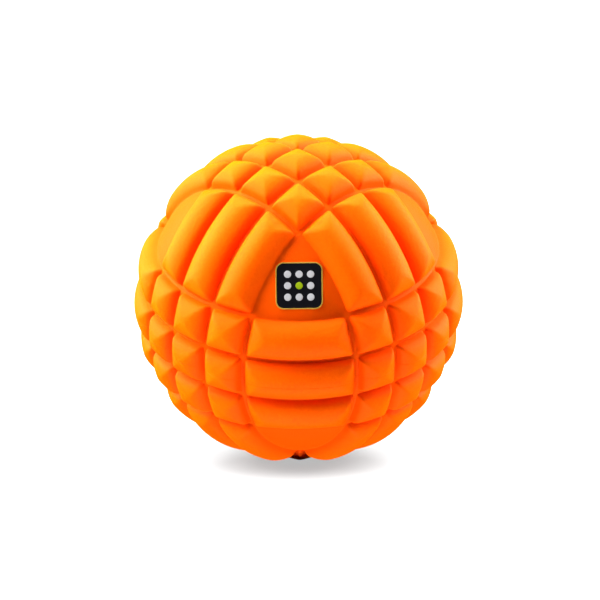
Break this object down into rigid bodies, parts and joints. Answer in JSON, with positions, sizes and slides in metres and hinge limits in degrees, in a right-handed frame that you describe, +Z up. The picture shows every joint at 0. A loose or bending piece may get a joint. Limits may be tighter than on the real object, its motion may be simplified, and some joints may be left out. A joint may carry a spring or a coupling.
{
  "type": "massage ball",
  "caption": "Round massage ball with raised foam bars and pyramids around smooth triangular panels, a hollow two-part core inside, and a small square badge on one panel.",
  "frame": {"origin": "centre of the ball", "axes": "+Z up with the ball standing on the tip of one corner pyramid; the badge faces -Y and is turned 13 degrees upwards; +X is to the right when looking at the badge, and is a two-fold axis of the tread"},
  "size_m": [0.127, 0.126, 0.127],
  "materials": {
    "foam": "satin moulded closed-cell EVA foam, saturated orange",
    "core_shell": "plain moulded ABS, dark grey",
    "badge_black": "satin black moulded badge",
    "badge_rim": "thin yellow-green printed outline",
    "badge_grey": "light grey inlay",
    "badge_green": "bright green inlay"
  },
  "bodies": {
    "root": {"foam_upper": "foam", "foam_lower": "foam", "core_upper": "core_shell", "core_lower": "core_shell", "badge_plate": "badge_black", "badge_rim": "badge_rim", "badge_dots": "badge_grey", "badge_centre_dot": "badge_green"}
  },
  "joints": []
}
